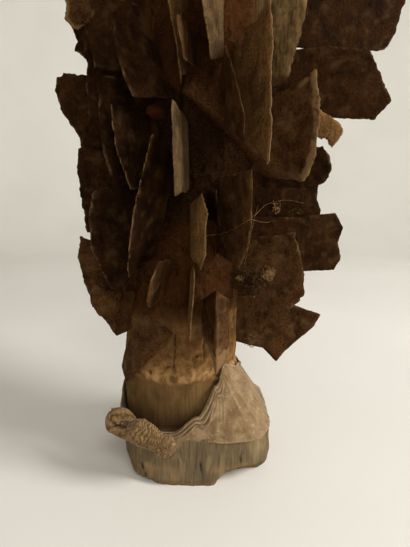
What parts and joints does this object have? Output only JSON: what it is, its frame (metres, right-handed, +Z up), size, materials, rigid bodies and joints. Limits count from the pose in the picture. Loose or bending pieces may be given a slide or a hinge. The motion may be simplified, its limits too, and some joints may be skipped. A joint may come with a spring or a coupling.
{
  "type": "nail fetish figure",
  "caption": "Standing carved wooden power figure on a small plinth, its trunk studded with thin sheet-iron blades hammered in edge-on, with a knotted cloth round its foot.",
  "frame": {"origin": "centre of the plinth's underside", "axes": "+Z up along the figure, the front looks along -Y, +X is the viewer's right"},
  "size_m": [0.287, 0.1859, 0.69],
  "materials": {
    "wood": "weathered, encrusted, unvarnished",
    "cloth": "dirt-stiffened coarse cloth",
    "iron": "rusted sheet iron, matt"
  },
  "bodies": {
    "root": {"figure": "wood", "cloth_wrap": "cloth", "blade_back_1": "iron", "blade_back_10": "iron", "blade_back_11": "iron", "blade_back_12": "iron", "blade_back_13": "iron", "blade_back_14": "iron", "blade_back_15": "iron", "blade_back_2": "iron", "blade_back_3": "iron", "blade_back_4": "iron", "blade_back_5": "iron", "blade_back_6": "iron", "blade_back_7": "iron", "blade_back_8": "iron", "blade_back_9": "iron", "blade_bent_down": "iron", "blade_chest_1": "iron", "blade_chest_2": "iron", "blade_chest_3": "iron", "blade_chest_4": "iron", "blade_chest_5": "iron", "blade_chest_6": "iron", "blade_front_bright": "iron", "blade_front_leaf": "iron", "blade_front_left_dark": "iron", "blade_front_left_edge": "iron", "blade_front_left_inner": "iron", "blade_front_left_narrow": "iron", "blade_front_left_slant": "iron", "blade_front_left_sliver": "iron", "blade_front_left_swept": "iron", "blade_front_left_tall": "iron", "blade_front_low": "iron", "blade_front_plate": "iron", "blade_front_right_broad": "iron", "blade_front_right_dark": "iron", "blade_front_right_folded": "iron", "blade_front_right_long": "iron", "blade_front_small": "iron", "blade_front_strip": "iron", "blade_left_behind": "iron", "blade_left_lobe": "iron", "blade_left_low": "iron", "blade_left_low_corner": "iron", "blade_left_middle": "iron", "blade_left_ragged": "iron", "blade_left_top": "iron", "blade_left_upper": "iron", "blade_right_front_low": "iron", "blade_right_leaf": "iron", "blade_right_low": "iron", "blade_right_middle": "iron", "blade_right_short": "iron", "blade_right_stub": "iron", "blade_right_top": "iron", "blade_right_upper": "iron"}
  },
  "joints": []
}
